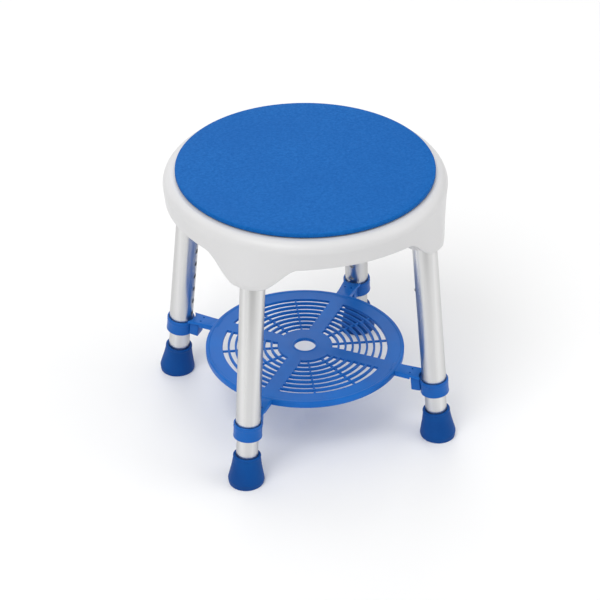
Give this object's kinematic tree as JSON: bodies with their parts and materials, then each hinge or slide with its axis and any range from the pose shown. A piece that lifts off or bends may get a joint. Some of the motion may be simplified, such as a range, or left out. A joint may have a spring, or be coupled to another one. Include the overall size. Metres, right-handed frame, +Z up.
{
  "type": "shower stool",
  "caption": "Round shower stool with a turning top disc, a white seat on splayed telescopic legs with rubber feet, and a lift-out grille tray between them.",
  "frame": {"origin": "on the floor, under the middle of the seat", "axes": "+Z up along the seat's axis; the legs stand at 45 degrees to X and Y, and the front leg is towards -X -Y"},
  "size_m": [0.32, 0.32, 0.3246],
  "materials": {
    "seat_white": "smooth moulded white, satin gloss",
    "disc_blue": "moulded blue top disc, fine matt texture",
    "tray_blue": "moulded deep blue, satin",
    "collar_blue": "moulded deep blue, satin",
    "foot_blue": "moulded blue rubber, matt",
    "tube_metal": "anodised tube, satin",
    "cap_black": "black, glossy dome",
    "button_metal": "dark steel",
    "spring_steel": "bright spring steel",
    "bearing_plastic": "natural low-friction plastic"
  },
  "bodies": {
    "seat": {"seat_shell": "seat_white", "pivot_bush": "bearing_plastic"},
    "top_base": {"swivel_base": "seat_white", "glide_ring": "bearing_plastic"},
    "top_disc": {"disc": "disc_blue", "pivot_screw": "spring_steel"},
    "tray": {"tray": "tray_blue"},
    "front_upper_leg": {"front_outer_tube": "tube_metal", "front_top_cap": "cap_black", "front_collar": "collar_blue", "front_seat_spring": "spring_steel"},
    "front_lower_leg": {"front_inner_tube": "tube_metal", "front_guide_bush": "bearing_plastic", "front_foot": "foot_blue", "front_foot_washer": "spring_steel", "front_height_spring": "spring_steel"},
    "front_seat_button": {"front_seat_button": "button_metal"},
    "front_height_button": {"front_height_button": "button_metal"},
    "right_upper_leg": {"right_outer_tube": "tube_metal", "right_top_cap": "cap_black", "right_collar": "collar_blue", "right_seat_spring": "spring_steel"},
    "right_lower_leg": {"right_inner_tube": "tube_metal", "right_guide_bush": "bearing_plastic", "right_foot": "foot_blue", "right_foot_washer": "spring_steel", "right_height_spring": "spring_steel"},
    "right_seat_button": {"right_seat_button": "button_metal"},
    "right_height_button": {"right_height_button": "button_metal"},
    "rear_upper_leg": {"rear_outer_tube": "tube_metal", "rear_top_cap": "cap_black", "rear_collar": "collar_blue", "rear_seat_spring": "spring_steel"},
    "rear_lower_leg": {"rear_inner_tube": "tube_metal", "rear_guide_bush": "bearing_plastic", "rear_foot": "foot_blue", "rear_foot_washer": "spring_steel", "rear_height_spring": "spring_steel"},
    "rear_seat_button": {"rear_seat_button": "button_metal"},
    "rear_height_button": {"rear_height_button": "button_metal"},
    "left_upper_leg": {"left_outer_tube": "tube_metal", "left_top_cap": "cap_black", "left_collar": "collar_blue", "left_seat_spring": "spring_steel"},
    "left_lower_leg": {"left_inner_tube": "tube_metal", "left_guide_bush": "bearing_plastic", "left_foot": "foot_blue", "left_foot_washer": "spring_steel", "left_height_spring": "spring_steel"},
    "left_seat_button": {"left_seat_button": "button_metal"},
    "left_height_button": {"left_height_button": "button_metal"}
  },
  "joints": [
    {"name": "top_lift", "type": "slide", "parent": "seat", "child": "top_base", "axis": [0, 0, 1], "range_m": [0, 0.116]},
    {"name": "disc_turn", "type": "hinge", "parent": "top_base", "child": "top_disc", "pos_m": [0, 0, 0.3196], "axis": [0, 0, 1], "continuous": true},
    {"name": "tray_lift", "type": "slide", "parent": "seat", "child": "tray", "axis": [0, 0, 1], "range_m": [0, 0.022]},
    {"name": "front_leg_pull", "type": "slide", "parent": "seat", "child": "front_upper_leg", "axis": [-0.0702, -0.0702, -0.9951], "range_m": [0, 0.144]},
    {"name": "front_leg_height", "type": "slide", "parent": "front_upper_leg", "child": "front_lower_leg", "axis": [0.0702, 0.0702, 0.9951], "range_m": [-0.108, 0]},
    {"name": "front_seat_button_press", "type": "slide", "parent": "front_upper_leg", "child": "front_seat_button", "axis": [0.7036, 0.7036, -0.0993], "range_m": [-0.0055, 0], "stiffness_N_per_m": 150, "springref_m": 0.002, "deforming": ["front_seat_spring"]},
    {"name": "front_height_button_press", "type": "slide", "parent": "front_lower_leg", "child": "front_height_button", "axis": [0.7036, 0.7036, -0.0993], "range_m": [-0.0038, 0], "stiffness_N_per_m": 150, "springref_m": 0.002, "deforming": ["front_height_spring"]},
    {"name": "right_leg_pull", "type": "slide", "parent": "seat", "child": "right_upper_leg", "axis": [0.0702, -0.0702, -0.9951], "range_m": [0, 0.144]},
    {"name": "right_leg_height", "type": "slide", "parent": "right_upper_leg", "child": "right_lower_leg", "axis": [-0.0702, 0.0702, 0.9951], "range_m": [-0.108, 0]},
    {"name": "right_seat_button_press", "type": "slide", "parent": "right_upper_leg", "child": "right_seat_button", "axis": [-0.7036, 0.7036, -0.0993], "range_m": [-0.0055, 0], "stiffness_N_per_m": 150, "springref_m": 0.002, "deforming": ["right_seat_spring"]},
    {"name": "right_height_button_press", "type": "slide", "parent": "right_lower_leg", "child": "right_height_button", "axis": [-0.7036, 0.7036, -0.0993], "range_m": [-0.0038, 0], "stiffness_N_per_m": 150, "springref_m": 0.002, "deforming": ["right_height_spring"]},
    {"name": "rear_leg_pull", "type": "slide", "parent": "seat", "child": "rear_upper_leg", "axis": [0.0702, 0.0702, -0.9951], "range_m": [0, 0.144]},
    {"name": "rear_leg_height", "type": "slide", "parent": "rear_upper_leg", "child": "rear_lower_leg", "axis": [-0.0702, -0.0702, 0.9951], "range_m": [-0.108, 0]},
    {"name": "rear_seat_button_press", "type": "slide", "parent": "rear_upper_leg", "child": "rear_seat_button", "axis": [-0.7036, -0.7036, -0.0993], "range_m": [-0.0055, 0], "stiffness_N_per_m": 150, "springref_m": 0.002, "deforming": ["rear_seat_spring"]},
    {"name": "rear_height_button_press", "type": "slide", "parent": "rear_lower_leg", "child": "rear_height_button", "axis": [-0.7036, -0.7036, -0.0993], "range_m": [-0.0038, 0], "stiffness_N_per_m": 150, "springref_m": 0.002, "deforming": ["rear_height_spring"]},
    {"name": "left_leg_pull", "type": "slide", "parent": "seat", "child": "left_upper_leg", "axis": [-0.0702, 0.0702, -0.9951], "range_m": [0, 0.144]},
    {"name": "left_leg_height", "type": "slide", "parent": "left_upper_leg", "child": "left_lower_leg", "axis": [0.0702, -0.0702, 0.9951], "range_m": [-0.108, 0]},
    {"name": "left_seat_button_press", "type": "slide", "parent": "left_upper_leg", "child": "left_seat_button", "axis": [0.7036, -0.7036, -0.0993], "range_m": [-0.0055, 0], "stiffness_N_per_m": 150, "springref_m": 0.002, "deforming": ["left_seat_spring"]},
    {"name": "left_height_button_press", "type": "slide", "parent": "left_lower_leg", "child": "left_height_button", "axis": [0.7036, -0.7036, -0.0993], "range_m": [-0.0038, 0], "stiffness_N_per_m": 150, "springref_m": 0.002, "deforming": ["left_height_spring"]}
  ]
}
